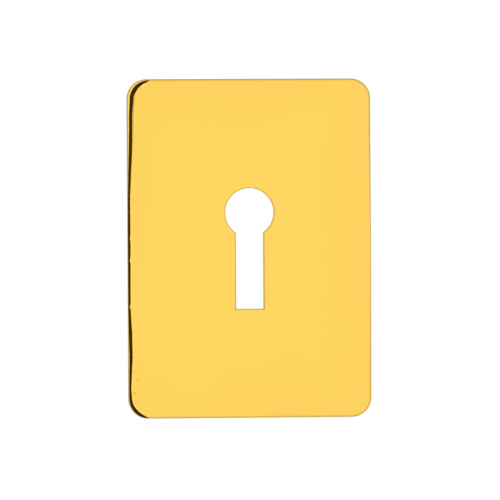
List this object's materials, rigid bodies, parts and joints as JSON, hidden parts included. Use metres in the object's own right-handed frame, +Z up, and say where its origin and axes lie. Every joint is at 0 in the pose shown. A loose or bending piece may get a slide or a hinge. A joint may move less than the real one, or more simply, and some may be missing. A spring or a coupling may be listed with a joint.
{
  "type": "keyhole escutcheon",
  "caption": "Oblong polished brass keyhole escutcheon with rounded corners, for gluing over a lock's keyhole.",
  "frame": {"origin": "centre of the keyhole's round part, on the back face that is glued to the door or drawer", "axes": "+Z up the plate, from the slot towards the round; the front faces -Y; +X to the right of someone facing the front"},
  "size_m": [0.043, 0.002, 0.0598],
  "materials": {
    "polished_brass": "polished"
  },
  "bodies": {
    "root": {"escutcheon_plate": "polished_brass"}
  },
  "joints": []
}
